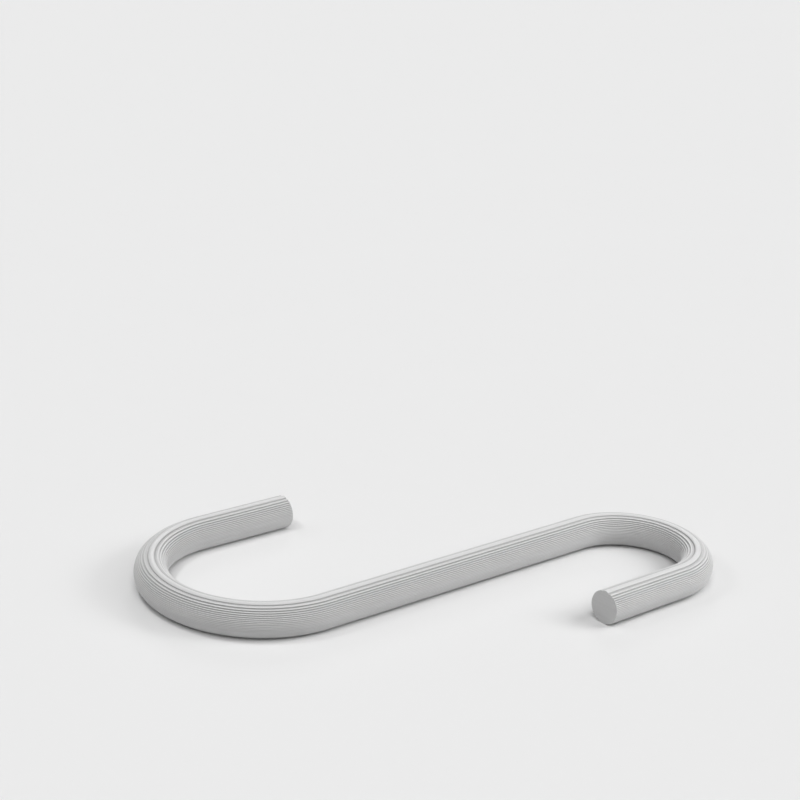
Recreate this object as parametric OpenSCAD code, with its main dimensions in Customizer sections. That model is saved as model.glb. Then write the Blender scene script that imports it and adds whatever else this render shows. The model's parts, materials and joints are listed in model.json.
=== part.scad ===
// S hook: one round rod bent into two open hooks that face opposite ways.
// It is printed lying flat, so the round section is a stack of thin layers,
// and every layer edge runs level round both bends and along the straights.
//
// Frame: the plane it lies on is Z = 0, and the origin is under the middle of
// the shank. +X points along the shank to the small hook, and the large
// hook's free end lies towards +Y.

/* [Rod] */
// Diameter of the round rod
rod_d = 6; // [3:0.5:10]
// Height of one printed layer
layer_h = 0.277; // [0.12:0.001:0.4]

/* [Shank] */
// Straight length between the two bends
shank = 60; // [10:1:200]

/* [Large hook] */
// Bend radius, from the bend's centre to the middle of the rod
large_bend_r = 18.75; // [10:0.25:60]
// Angle that the bend turns through
large_turn = 180; // [90:5:180]
// Straight free end after the bend
large_tip = 18.75; // [2:0.25:100]

/* [Small hook] */
// Bend radius, from the bend's centre to the middle of the rod
small_bend_r = 12.5; // [10:0.25:60]
// Angle that the bend turns through
small_turn = 180; // [90:5:180]
// Straight free end after the bend
small_tip = 18.75; // [2:0.25:100]

/* [Hidden] */
$fn = 96;
rod_r = rod_d / 2;
// The last layer printed is the last whose middle is still inside the rod
layers = ceil(rod_d / layer_h - 0.5);

// Half the width of a layer: that of the round rod at the layer's middle
function half_width(layer) =
    sqrt(pow(rod_r, 2) - pow((layer + 0.5) * layer_h - rod_r, 2));

// One side of the section, from the bottom layer up: side is 1 or -1
function steps(side) = [
    for (layer = [0 : layers - 1], edge = [0, 1])
        [side * half_width(layer), (layer + edge) * layer_h]
];

function reversed(list) = [for (i = [len(list) - 1 : -1 : 0]) list[i]];

// The rod's section, standing on the line y = 0
module layered_section() {
    polygon(concat(steps(1), reversed(steps(-1))));
}

// A straight of the rod, from the origin along +X
module straight(length) {
    rotate([90, 0, 90])
        linear_extrude(height = length)
            layered_section();
}

// A bend of the rod, from the origin along +X, turning left to +Y
module bend(radius, turn) {
    translate([0, radius, 0])
        rotate([0, 0, -90])
            rotate_extrude(angle = turn)
                translate([radius, 0])
                    layered_section();
}

// One hook: a bend, then the straight free end that leaves it
module open_hook(radius, turn, tip) {
    bend(radius, turn);
    translate([radius * sin(turn), radius * (1 - cos(turn)), 0])
        rotate([0, 0, turn])
            straight(tip);
}

module hook() {
    color("gainsboro") {
        translate([-shank / 2, 0, 0])
            straight(shank);
        translate([-shank / 2, 0, 0])
            mirror([1, 0, 0])
                open_hook(large_bend_r, large_turn, large_tip);
        translate([shank / 2, 0, 0])
            mirror([0, 1, 0])
                open_hook(small_bend_r, small_turn, small_tip);
    }
}

hook();
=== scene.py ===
# %% [markdown]
# # A printed S hook
#
# The part is one round rod, bent into two open hooks that face opposite ways.
# It was printed lying flat, so its round section is really a stack of thin
# layers, and the edge of every layer runs level round both bends. This lesson
# draws that stepped section once, carries it along the rod's path, gives it a
# matte plastic, and lights it on a pale floor.

import json
import math

import bmesh
import bpy
from mathutils import Matrix, Vector


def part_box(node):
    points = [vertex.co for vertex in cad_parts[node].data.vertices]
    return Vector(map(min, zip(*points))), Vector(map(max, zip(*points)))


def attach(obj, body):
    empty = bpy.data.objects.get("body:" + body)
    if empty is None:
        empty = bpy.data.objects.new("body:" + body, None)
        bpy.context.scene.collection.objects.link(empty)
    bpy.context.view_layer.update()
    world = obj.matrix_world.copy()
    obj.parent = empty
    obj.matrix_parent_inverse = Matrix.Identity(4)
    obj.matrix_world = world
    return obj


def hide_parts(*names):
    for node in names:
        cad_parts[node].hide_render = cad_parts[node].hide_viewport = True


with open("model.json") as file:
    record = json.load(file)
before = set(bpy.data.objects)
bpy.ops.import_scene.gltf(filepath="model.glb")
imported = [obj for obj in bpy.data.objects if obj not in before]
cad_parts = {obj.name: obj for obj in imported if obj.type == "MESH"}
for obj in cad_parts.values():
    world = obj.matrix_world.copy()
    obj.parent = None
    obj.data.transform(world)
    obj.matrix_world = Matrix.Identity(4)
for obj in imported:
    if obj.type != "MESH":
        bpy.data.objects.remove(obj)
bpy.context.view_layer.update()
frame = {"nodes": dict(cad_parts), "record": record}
hook_low, hook_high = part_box("hook")
print("the hook measures, in mm:", [round(1000 * s, 2) for s in hook_high - hook_low])

# %% [markdown]
# ## The sizes
#
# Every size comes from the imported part. Its two seats are the insides of the
# bends, so their places are the centres of the bends, and what lies between a
# seat and the middle of the shank is half a rod. The levels of the layers are
# read off the part itself: each one is a height that its corners share.

# %% Read the sizes from the part
mounts = {mount["name"]: mount for mount in frame["record"]["mounts"]}
large_centre = Vector(mounts["large_seat"]["pos_m"])
small_centre = Vector(mounts["small_seat"]["pos_m"])
large_bend_r = abs(large_centre.y)
small_bend_r = abs(small_centre.y)
rod_r = large_bend_r - mounts["large_seat"]["dims"]["r_mm"] / 1000
shank = small_centre.x - large_centre.x

corners = [v.co for v in frame["nodes"]["hook"].data.vertices]
levels = sorted({round(co.z, 6) for co in corners})
layer_h = levels[-1] / (len(levels) - 1)
large_tip_x = max(co.x for co in corners if co.y > large_centre.y + rod_r)
small_tip_x = min(co.x for co in corners if co.y < small_centre.y - rod_r)
print(f"rod {2000 * rod_r:.2f} mm, {len(levels) - 1} layers of {1000 * layer_h:.3f} mm")
print(f"bends {1000 * large_bend_r:.2f} and {1000 * small_bend_r:.2f} mm, shank {1000 * shank:.1f} mm")

# %% [markdown]
# ## The sides of the layers
#
# A printer lays each layer as a bead of melted plastic, so the side of a layer
# isn't a sharp step: it bulges out to its full width halfway up, and leaves a
# groove where it meets its neighbour. A bump map could fake that, but here the
# steps make the outline of the rod, so they are modelled. Each layer's side is
# a foot and a shoulder, and each of those is a quarter of an ellipse.

# %% Draw one bead's side
BEAD_ROUND = 0.00010  # the height of a foot or a shoulder, and its usual reach
ARC_STEPS = 3


def draw_to(mesh, tip, y, z):
    """Extrudes the outline's last vertex to a new place and gives the new vertex."""
    made = bmesh.ops.extrude_vert_indiv(mesh, verts=[tip])
    new_tip = made["verts"][0]
    new_tip.co = (tip.co.x, y, z)
    return new_tip


def draw_arc(mesh, tip, centre, reach, rise, start, stop, steps=ARC_STEPS):
    """Extrudes the outline along an ellipse's edge, from one angle to another in degrees."""
    for step in range(steps + 1):
        angle = math.radians(start + (stop - start) * step / steps)
        tip = draw_to(mesh, tip, centre[0] + reach * math.cos(angle), centre[1] + rise * math.sin(angle))
    return tip


def half_width(level):
    """Half the width of the layer that starts at this level: that of the round rod at its middle."""
    off_centre = level + layer_h / 2 - rod_r
    return math.sqrt(rod_r**2 - off_centre**2)


# %% [markdown]
# ## The whole section
#
# The outline starts as one vertex under the rod's middle and climbs one side of
# the rod. Where a layer's ledge is broad, its shoulder is broad too, since there
# the bead has room to slump. The last strip on top has no neighbours at all, so
# it sets as a low dome, in a shallow groove. Halfway up, the dome is as wide as
# its layer. A mirror gives the other half.

# %% Draw the outline of the section
LEDGE_SHARE = 0.45  # how much of its open ledge a shoulder takes up
GROOVE = 0.00006  # how deep the groove beside the top strip is
STRIP_STEPS = 8
HALFWAY_UP = math.radians(30)  # how far round its arc a dome has half its height
MERGE = 1e-7  # vertices closer than this are one


def draw_layer(mesh, tip, level, next_width):
    """Extrudes the outline up the side of one layer."""
    width = half_width(level)
    reach = max(BEAD_ROUND, LEDGE_SHARE * (width - next_width))
    foot = (width - BEAD_ROUND, level + BEAD_ROUND)
    shoulder = (width - reach, level + layer_h - BEAD_ROUND)
    tip = draw_arc(mesh, tip, foot, BEAD_ROUND, BEAD_ROUND, -90, 0)
    return draw_arc(mesh, tip, shoulder, reach, BEAD_ROUND, 0, 90)


def layered_section(mesh, x):
    """Draws the rod's section, standing across the X axis at this x, and gives its edges."""
    tip = bmesh.ops.create_vert(mesh, co=(x, 0, levels[0]))["vert"][0]
    *lower_levels, strip_level, rod_top = levels
    for level, next_level in zip(lower_levels, [*lower_levels[1:], strip_level]):
        tip = draw_layer(mesh, tip, level, half_width(next_level))
    strip_spread = half_width(strip_level) / math.cos(HALFWAY_UP)
    groove_width = tip.co.y - strip_spread
    tip = draw_arc(mesh, tip, (tip.co.y, strip_level - GROOVE), groove_width, GROOVE, 90, 180)
    draw_arc(mesh, tip, (0, strip_level), strip_spread, rod_top - strip_level, 0, 90, STRIP_STEPS)
    half = mesh.verts[:] + mesh.edges[:]
    bmesh.ops.mirror(mesh, geom=half, axis="Y", merge_dist=MERGE)
    bmesh.ops.remove_doubles(mesh, verts=mesh.verts[:], dist=MERGE)
    return mesh.edges[:]


# %% [markdown]
# ## Carry it along the rod
#
# The rod could be a curve with the section as its bevel, but a curve turns its
# section a little at each point, and layer edges have to stay exactly level.
# So the outline itself is carried: pushed along for the three straights and
# spun about an upright axis for the two bends. With these numbers of steps each
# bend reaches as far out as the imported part's. A face closes each free end.

# %% Sweep the section along the path
LARGE_STEPS = 96
SMALL_STEPS = 41


def loop_edges(geometry):
    """The edges among some geometry."""
    return [g for g in geometry if isinstance(g, bmesh.types.BMEdge)]


def loop_verts(edges):
    """Each vertex of these edges once."""
    return list({vert for edge in edges for vert in edge.verts})


def push(mesh, edges, x):
    """Extrudes the open end to this x and gives the edges of the new end."""
    end = loop_edges(bmesh.ops.extrude_edge_only(mesh, edges=edges)["geom"])
    shift = x - end[0].verts[0].co.x
    bmesh.ops.translate(mesh, verts=loop_verts(end), vec=(shift, 0, 0))
    return end


def swing(mesh, edges, centre, turn, steps):
    """Spins the open end about an upright axis and gives the edges of the new end."""
    made = bmesh.ops.spin(
        mesh, geom=edges + loop_verts(edges), cent=centre, axis=(0, 0, 1),
        angle=turn, steps=steps, use_duplicate=False,
    )
    return loop_edges(made["geom_last"])


rod = bmesh.new()
start = layered_section(rod, large_tip_x)
bmesh.ops.translate(rod, verts=rod.verts[:], vec=(0, 2 * large_bend_r, 0))
print(f"the section's outline has {len(start)} edges")
end = push(rod, start, large_centre.x)
end = swing(rod, end, large_centre, math.pi, LARGE_STEPS)
end = push(rod, end, small_centre.x)
end = swing(rod, end, small_centre, -math.pi, SMALL_STEPS)
end = push(rod, end, small_tip_x)
bmesh.ops.contextual_create(rod, geom=start)
bmesh.ops.contextual_create(rod, geom=end)
bmesh.ops.recalc_face_normals(rod, faces=rod.faces[:])
print(f"{len(rod.faces)} faces, volume {rod.calc_volume() * 1e9:.0f} mm3")

# %% [markdown]
# ## One mesh, riding on the part
#
# A printed hook is one solid, so the swept mesh becomes a single object, tied to
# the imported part's body, which would carry it along if it moved. The bends and
# the beads' rounded sides are shaded smoothly. Edges that turn by more than 50
# degrees are marked sharp, so the rims of the two flat ends stay crisp.

# %% Make it an object
SHARP_ANGLE = math.radians(50)

mesh = bpy.data.meshes.new("printed_hook")
rod.to_mesh(mesh)
rod.free()
for face in mesh.polygons:
    face.use_smooth = True
mesh.set_sharp_from_angle(angle=SHARP_ANGLE)
printed_hook = bpy.data.objects.new("printed_hook", mesh)
bpy.context.scene.collection.objects.link(printed_hook)
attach(printed_hook, "root")
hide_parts("hook")

# %% [markdown]
# ## Where a point is on the rod
#
# Melted plastic is dragged along behind the nozzle, so its faint streaks run
# along the rod and turn with it round both bends. Object coordinates stay
# square to the floor and would cut across the bends. So every vertex is given
# its own place on the rod, as an attribute that a material can read: how far
# along the rod it is, how far to the side of the rod's middle, and how high.

# %% Work out a vertex's place on the rod
large_arc = math.pi * large_bend_r
small_arc = math.pi * small_bend_r
shank_start = large_tip_x - large_centre.x + large_arc
small_bend_start = shank_start + shank


def place_on_rod(co):
    """How far along the rod a point is, how far it is to the side, and how high."""
    if co.x < large_centre.x:
        arm = co - large_centre
        turned = math.atan2(arm.x, -arm.y)
        return shank_start + turned * large_bend_r, math.hypot(arm.x, arm.y) - large_bend_r, co.z
    if co.x > small_centre.x:
        arm = co - small_centre
        turned = math.atan2(arm.x, arm.y)
        return small_bend_start + turned * small_bend_r, small_bend_r - math.hypot(arm.x, arm.y), co.z
    if co.y > large_centre.y:
        return large_tip_x - co.x, co.y - 2 * large_bend_r, co.z
    if co.y < small_centre.y:
        after_bend = small_centre.x - co.x
        return small_bend_start + small_arc + after_bend, co.y + 2 * small_bend_r, co.z
    return shank_start + co.x - large_centre.x, -co.y, co.z


# %% Store it on the mesh
places = [place_on_rod(vert.co) for vert in mesh.vertices]
rod_place = mesh.attributes.new("rod_place", "FLOAT_VECTOR", "POINT")
rod_place.data.foreach_set("vector", [number for place in places for number in place])
rod_length = max(place[0] for place in places)
print(f"along its middle the rod is {1000 * rod_length:.1f} mm long")

# %% [markdown]
# ## The plastic
#
# The hook is an uncoloured light grey plastic, matte all over. An even grey
# would look like clay, because real printed plastic differs a little from
# layer to layer and along each bead. Each of these is a pattern between 0 and
# 1, and they're combined last. The first one is the streaks: a noise that is
# squeezed across the rod and drawn out along it.

# %% Streaks along the rod
plastic = bpy.data.materials.new("matte_plastic")
plastic.use_nodes = True
nodes = plastic.node_tree.nodes
links = plastic.node_tree.links
shader = nodes["Principled BSDF"]

place_node = nodes.new("ShaderNodeAttribute")
place_node.attribute_name = "rod_place"

STREAK_LENGTH = 0.012
STREAK_WIDTH = 0.0004
NOISE_LOW = 0.3  # a noise seldom goes below this
NOISE_HIGH = 0.7  # or above this
streak_space = nodes.new("ShaderNodeMapping")
streak_space.inputs["Scale"].default_value = (1 / STREAK_LENGTH, 1 / STREAK_WIDTH, 1 / STREAK_WIDTH)
links.new(place_node.outputs["Vector"], streak_space.inputs["Vector"])
streaks = nodes.new("ShaderNodeTexNoise")
streaks.inputs["Scale"].default_value = 1
streaks.inputs["Detail"].default_value = 3
streaks.inputs["Roughness"].default_value = 0.6
links.new(streak_space.outputs["Vector"], streaks.inputs["Vector"])
print(f"streaks about {1000 * STREAK_LENGTH:.0f} mm long and {1000 * STREAK_WIDTH:.1f} mm wide")

# %% [markdown]
# ## One tone per layer
#
# Each layer cools a little differently, so it can be a touch lighter or darker
# than the next. Its number is its height counted in layers and rounded down,
# and white noise turns that whole number into one tone for the whole layer.

# %% Give each layer its tone
heights = nodes.new("ShaderNodeSeparateXYZ")
links.new(place_node.outputs["Vector"], heights.inputs["Vector"])
in_layers = nodes.new("ShaderNodeMath")
in_layers.operation = "DIVIDE"
in_layers.inputs[1].default_value = layer_h
links.new(heights.outputs["Z"], in_layers.inputs[0])
layer_number = nodes.new("ShaderNodeMath")
layer_number.operation = "FLOOR"
links.new(in_layers.outputs["Value"], layer_number.inputs[0])
layer_tone = nodes.new("ShaderNodeTexWhiteNoise")
layer_tone.noise_dimensions = "1D"
links.new(layer_number.outputs["Value"], layer_tone.inputs["W"])
print(f"{len(levels) - 1} tones, one for each layer")

# %% [markdown]
# ## Broad patches and the final grey
#
# The plastic also drifts in tone over a centimetre or two, as the flow of the
# nozzle does. Object coordinates are right for that, since it has no grain to
# follow. The three patterns are added up with a weight each, and a Map Range
# turns the sum into the two greys that the plastic stays between.

# %% Mix the patterns into the grey
DARK_GREY = 0.52
LIGHT_GREY = 0.56
PATCHES_PER_METRE = 70
STREAK_WEIGHT = 0.5
LAYER_WEIGHT = 0.25
PATCH_WEIGHT = 0.25

object_place = nodes.new("ShaderNodeTexCoord")
patches = nodes.new("ShaderNodeTexNoise")
patches.inputs["Scale"].default_value = PATCHES_PER_METRE
patches.inputs["Detail"].default_value = 1
links.new(object_place.outputs["Object"], patches.inputs["Vector"])


def weigh(source, weight, added_to=None):
    """Multiplies a pattern by its weight, adds it to another, and gives the result's socket."""
    node = nodes.new("ShaderNodeMath")
    node.operation = "MULTIPLY_ADD"
    node.inputs[1].default_value = weight
    node.inputs[2].default_value = 0
    links.new(source, node.inputs[0])
    if added_to:
        links.new(added_to, node.inputs[2])
    return node.outputs["Value"]


pattern = weigh(streaks.outputs["Fac"], STREAK_WEIGHT)
pattern = weigh(layer_tone.outputs["Value"], LAYER_WEIGHT, pattern)
pattern = weigh(patches.outputs["Fac"], PATCH_WEIGHT, pattern)
grey = nodes.new("ShaderNodeMapRange")
grey.inputs["From Min"].default_value = NOISE_LOW
grey.inputs["From Max"].default_value = NOISE_HIGH
grey.inputs["To Min"].default_value = DARK_GREY
grey.inputs["To Max"].default_value = LIGHT_GREY
links.new(pattern, grey.inputs["Value"])
print(f"before the grooves, the grey stays between {DARK_GREY} and {LIGHT_GREY}")

# %% [markdown]
# ## Painted shade in the grooves
#
# The grooves between beads are so fine that a render blurs most of them away.
# A darker tone painted into them, painted shade where shade falls between the
# beads, brings the lines back. How deep a point lies is simple to work out: the
# rod would be perfectly round without its grooves, so it is the rod's radius
# less the point's distance from the rod's middle line. The lines are plain on
# the upper half and fade out below, so the depth and its painted shade do too.
# The two end faces are walls of beads as well, whose lines don't show, so they
# get one small depth all over, which paints a faint shade on the whole face.
# That's why the depth is stored for each corner of each face and not for each
# vertex.

# %% Store the depth of the grooves, the mask for the painted shade
# the small depth of the end faces paints a faint shade over them
END_SHADE_DEPTH = 0.000009
FADE_FROM = 0.4 * rod_r  # the height up to which no line shows
FADE_TO = 1.2 * rod_r  # the height from which they show in full


def faded_depth(offset, height):
    """How deep a point lies under the round rod's surface, fading to 0 on the rod's lower half."""
    depth = rod_r - math.hypot(offset, height - rod_r)
    fade = (height - FADE_FROM) / (FADE_TO - FADE_FROM)
    return max(depth, 0) * min(max(fade, 0), 1)


depths = [faded_depth(offset, height) for along, offset, height in places]
groove_shade_depth = mesh.attributes.new("groove_shade_depth", "FLOAT", "CORNER")
for face in mesh.polygons:
    is_end = len(face.vertices) > 4
    for corner, vertex in zip(face.loop_indices, face.vertices):
        groove_shade_depth.data[corner].value = END_SHADE_DEPTH if is_end else depths[vertex]
print(f"the greatest depth stored is {1000 * max(depths):.2f} mm")

# %% Paint shade into the grooves
# painted shade: the grey is darkened in the grooves, where shade falls
FULL_SHADE_DEPTH = 0.00002  # from this depth on, the tone is at its darkest
GROOVE_SHADE_TONE = 0.72  # and the grey is multiplied by this

depth_node = nodes.new("ShaderNodeAttribute")
depth_node.attribute_name = "groove_shade_depth"
groove = nodes.new("ShaderNodeMapRange")
groove.inputs["From Max"].default_value = FULL_SHADE_DEPTH
groove.inputs["To Min"].default_value = 1
groove.inputs["To Max"].default_value = GROOVE_SHADE_TONE
links.new(depth_node.outputs["Fac"], groove.inputs["Value"])
# the grey with the painted shade of the grooves multiplied in
tone = nodes.new("ShaderNodeMath")
tone.operation = "MULTIPLY"
links.new(grey.outputs["Result"], tone.inputs[0])
links.new(groove.outputs["Result"], tone.inputs[1])
links.new(tone.outputs["Value"], shader.inputs["Base Color"])
print(f"the darkest groove is {DARK_GREY * GROOVE_SHADE_TONE:.2f}")

# %% [markdown]
# ## Matte, with a fine grain
#
# A matte plastic's gloss is broad, and it is a little smoother where the
# nozzle has ironed the streaks, so the streaks drive the roughness too. A
# bump of two hundredths of a millimetre breaks up the shading of each bead.
# The layers themselves aren't part of it, because they are in the mesh.

# %% Set the gloss and the grain
BUMP_DEPTH = 0.00002
BUMP_STRENGTH = 0.5
SMOOTHEST = 0.38
ROUGHEST = 0.48
PLASTIC_IOR = 1.55

sheen = nodes.new("ShaderNodeMapRange")
sheen.inputs["From Min"].default_value = NOISE_LOW
sheen.inputs["From Max"].default_value = NOISE_HIGH
sheen.inputs["To Min"].default_value = SMOOTHEST
sheen.inputs["To Max"].default_value = ROUGHEST
links.new(streaks.outputs["Fac"], sheen.inputs["Value"])
links.new(sheen.outputs["Result"], shader.inputs["Roughness"])

grain = nodes.new("ShaderNodeBump")
grain.inputs["Strength"].default_value = BUMP_STRENGTH
grain.inputs["Distance"].default_value = BUMP_DEPTH
links.new(streaks.outputs["Fac"], grain.inputs["Height"])
links.new(grain.outputs["Normal"], shader.inputs["Normal"])
shader.inputs["IOR"].default_value = PLASTIC_IOR
mesh.materials.append(plastic)
print(f"the roughness stays between {SMOOTHEST} and {ROUGHEST}")

# %% [markdown]
# ## The camera
#
# The hook is seen from low down and off to one side, so that it is long in
# the view and both bends show their openings. The lens is a long one, which
# keeps the near bend from looking too big. A camera looks along its own -Z
# axis, so it is first tipped up from looking straight down, then turned to its
# heading, and last rolled a few degrees, which tilts the view a little.

# %% Place the camera
LENS = 81.21
CAMERA_AT = (-0.198189, -0.213619, 0.139444)
heading = math.radians(40.4494)
dip = math.radians(19.8629)
roll = math.radians(3.4095)

camera_data = bpy.data.cameras.new("camera")
camera_data.lens = LENS
camera_data.sensor_width = 36
camera_data.clip_start = 0.01
camera_data.clip_end = 10
camera = bpy.data.objects.new("camera", camera_data)
bpy.context.scene.collection.objects.link(camera)

turn_to_heading = Matrix.Rotation(-heading, 4, "Z")
tip_up = Matrix.Rotation(math.radians(90) - dip, 4, "X")
camera_place = Matrix.Translation(CAMERA_AT)
camera.matrix_world = camera_place @ turn_to_heading @ tip_up @ Matrix.Rotation(roll, 4, "Z")
bpy.context.scene.camera = camera
print(f"the camera stands {1000 * camera.location.length:.0f} mm from the middle of the shank")

# %% [markdown]
# ## Soft light from all round
#
# In a studio a small part stands among big white panels, which leave hardly
# any hard shadow. A sun lamp with a wide angle does the same, and it lights
# everything evenly wherever it hangs. Alone, these lamps light a card on the
# floor a sixth too little for white to look white. The near lamps add to that
# by the hook, where a card gets 8 to 23 percent too much, so a colour renders
# somewhat brighter there than it's written.

# %% Hang the wide lamps
scene = bpy.context.scene


def direction(bearing, height):
    """The direction to a lamp, by its bearing from the camera's heading and its height, in degrees."""
    around = heading + math.radians(bearing)
    rise = math.radians(height)
    return Vector((math.sin(around) * math.cos(rise), math.cos(around) * math.cos(rise), math.sin(rise)))


WIDE_LAMPS = {  # name: (bearing, height, angle, brightness of a white card that faces it)
    "back": (0, 30, 20, 0.12),
    "right": (90, 50, 40, 0.17),
    "low_right": (90, 25, 20, 0.15),
    "front": (180, 50, 40, 0.27),
    "low_front": (180, 15, 30, 0.03),
    "top": (180, 75, 40, 0.25),
    "left": (270, 40, 40, 0.13),
}
for name, (bearing, height, angle, brightness) in WIDE_LAMPS.items():
    lamp_data = bpy.data.lights.new(name + "_lamp", "SUN")
    lamp_data.energy = brightness * math.pi
    lamp_data.angle = math.radians(angle)
    lamp = bpy.data.objects.new(name + "_lamp", lamp_data)
    lamp.rotation_euler = direction(bearing, height).to_track_quat("Z", "Y").to_euler()
    scene.collection.objects.link(lamp)
print(f"{len(WIDE_LAMPS)} wide lamps")

# %% [markdown]
# ## Two near lamps
#
# The small hook's side is lit a little more than the other, and the soft
# shadows spread away from it. Only a lamp close by does that, because its
# light falls off along the rod. It's a round panel that hangs off to the right
# and faces straight down. A much smaller one on the left gives the large
# hook's free end a slightly crisper shadow, which fades along the shank. Both
# are hidden from the camera, as they would be kept out of the frame.

# %% Hang the near lamps
NEAR_LAMPS = {  # name: (bearing, distance from the middle, height, radius, glow, where 1 is white)
    "near_panel": (90, 0.18, 0.126, 0.08, 3.9),
    "near_spot": (255, 0.094, 0.129, 0.007, 75),
}
feet = {}
for name, (bearing, out, up, lamp_r, glow) in NEAR_LAMPS.items():
    lamp_data = bpy.data.lights.new(name, "AREA")
    lamp_data.shape = "DISK"
    lamp_data.size = 2 * lamp_r
    lamp_data.energy = glow * math.pi**2 * lamp_r**2
    lamp = bpy.data.objects.new(name, lamp_data)
    feet[name] = direction(bearing, 0) * out
    lamp.location = feet[name] + Vector((0, 0, up))
    lamp.visible_camera = False
    scene.collection.objects.link(lamp)
    print(f"the {name} gives {lamp_data.energy:.3f} W")

# %% [markdown]
# ## The surroundings
#
# The world is what shows past the edge of the floor, and what smooth plastic
# mirrors. It should be as pale as the floor there, but as a light it would
# wash out every shadow. Light Path tells the two apart: a ray from the camera,
# from a reflection or through glass finds it pale, any other finds it dim.

# %% Make the world
FLOOR_TONE = 0.831  # the grey that the floor should have
WORLD_LIGHT = 0.04

world = bpy.data.worlds.new("studio")
scene.world = world
world.use_nodes = True
world_nodes = world.node_tree.nodes
world_links = world.node_tree.links
seen = None
ray = world_nodes.new("ShaderNodeLightPath")
for kind in ("Is Camera Ray", "Is Glossy Ray", "Is Transmission Ray"):
    either = world_nodes.new("ShaderNodeMath")
    either.operation = "MAXIMUM"
    either.inputs[1].default_value = 0
    world_links.new(ray.outputs[kind], either.inputs[0])
    if seen:
        world_links.new(seen, either.inputs[1])
    seen = either.outputs["Value"]
paleness = world_nodes.new("ShaderNodeMapRange")
paleness.inputs["To Min"].default_value = WORLD_LIGHT
paleness.inputs["To Max"].default_value = FLOOR_TONE
world_links.new(seen, paleness.inputs["Value"])
background = world_nodes["Background"]
background.inputs["Color"].default_value = (1, 1, 1, 1)
world_links.new(paleness.outputs["Result"], background.inputs["Strength"])
scene.view_settings.view_transform = "Standard"
print(f"the world looks {FLOOR_TONE} bright and lights with {WORLD_LIGHT}")

# %% [markdown]
# ## The floor
#
# The floor is a big sheet of pale matte paper, wide enough to run past every
# view. It should look the same pale grey all over, but each near lamp would
# leave a bright pool on it. A retoucher paints such a pool out; here the paper
# is toned instead. Its tone is the grey that it should have divided by the
# light that it gets. For a round lamp that faces the floor, that light has an
# exact formula: the share of the view straight up that the lamp fills, which
# depends only on the distance from the lamp's foot. Shadows stay as they are.

# %% Lay the floor
HALF_SHEET = 4  # in metres, from the middle to an edge

sheet = bmesh.new()
bmesh.ops.create_grid(sheet, x_segments=1, y_segments=1, size=HALF_SHEET)
floor_mesh = bpy.data.meshes.new("floor")
sheet.to_mesh(floor_mesh)
sheet.free()
floor = bpy.data.objects.new("floor", floor_mesh)
scene.collection.objects.link(floor)
print(f"the floor measures {floor.dimensions.x:.0f} m across")

# %% Make the paper
paper = bpy.data.materials.new("pale_paper")
paper.use_nodes = True
paper_nodes = paper.node_tree.nodes
paper_links = paper.node_tree.links
paper_shader = paper_nodes["Principled BSDF"]
paper_shader.inputs["Roughness"].default_value = 1
paper_shader.inputs["Specular IOR Level"].default_value = 0
floor_mesh.materials.append(paper)


def calculate(operation, *terms):
    """Adds a Math node to the paper, from numbers and sockets, and gives its result's socket."""
    node = paper_nodes.new("ShaderNodeMath")
    node.operation = operation
    for term, socket in zip(terms, node.inputs):
        if isinstance(term, bpy.types.NodeSocket):
            paper_links.new(term, socket)
        else:
            socket.default_value = term
    return node.outputs["Value"]


def share_of_view(foot, up, lamp_r):
    """The share of the floor's view straight up that a round lamp fills, as a socket."""
    from_foot = paper_nodes.new("ShaderNodeVectorMath")
    from_foot.operation = "DISTANCE"
    from_foot.inputs[1].default_value = foot
    paper_links.new(paper_place.outputs["Object"], from_foot.inputs[0])
    distance = from_foot.outputs["Value"]
    outer = calculate("MULTIPLY_ADD", distance, distance, up**2 + lamp_r**2)
    inner = calculate("SUBTRACT", outer, 2 * lamp_r**2)
    chord = calculate("MULTIPLY", distance, 2 * lamp_r)
    square = calculate("SUBTRACT", calculate("POWER", outer, 2), calculate("POWER", chord, 2))
    return calculate("MULTIPLY_ADD", calculate("DIVIDE", inner, calculate("SQRT", square)), -0.5, 0.5)


# %% Divide the tone by the light
paper_place = paper_nodes.new("ShaderNodeTexCoord")
wide_light = WORLD_LIGHT + sum(
    brightness * math.sin(math.radians(height)) for bearing, height, angle, brightness in WIDE_LAMPS.values()
)
light = wide_light
for name, (bearing, out, up, lamp_r, glow) in NEAR_LAMPS.items():
    light = calculate("MULTIPLY_ADD", share_of_view(feet[name], up, lamp_r), glow, light)
paper_links.new(calculate("DIVIDE", FLOOR_TONE, light), paper_shader.inputs["Base Color"])
print(f"far from the near lamps the paper's tone is {FLOOR_TONE / wide_light:.2f}")
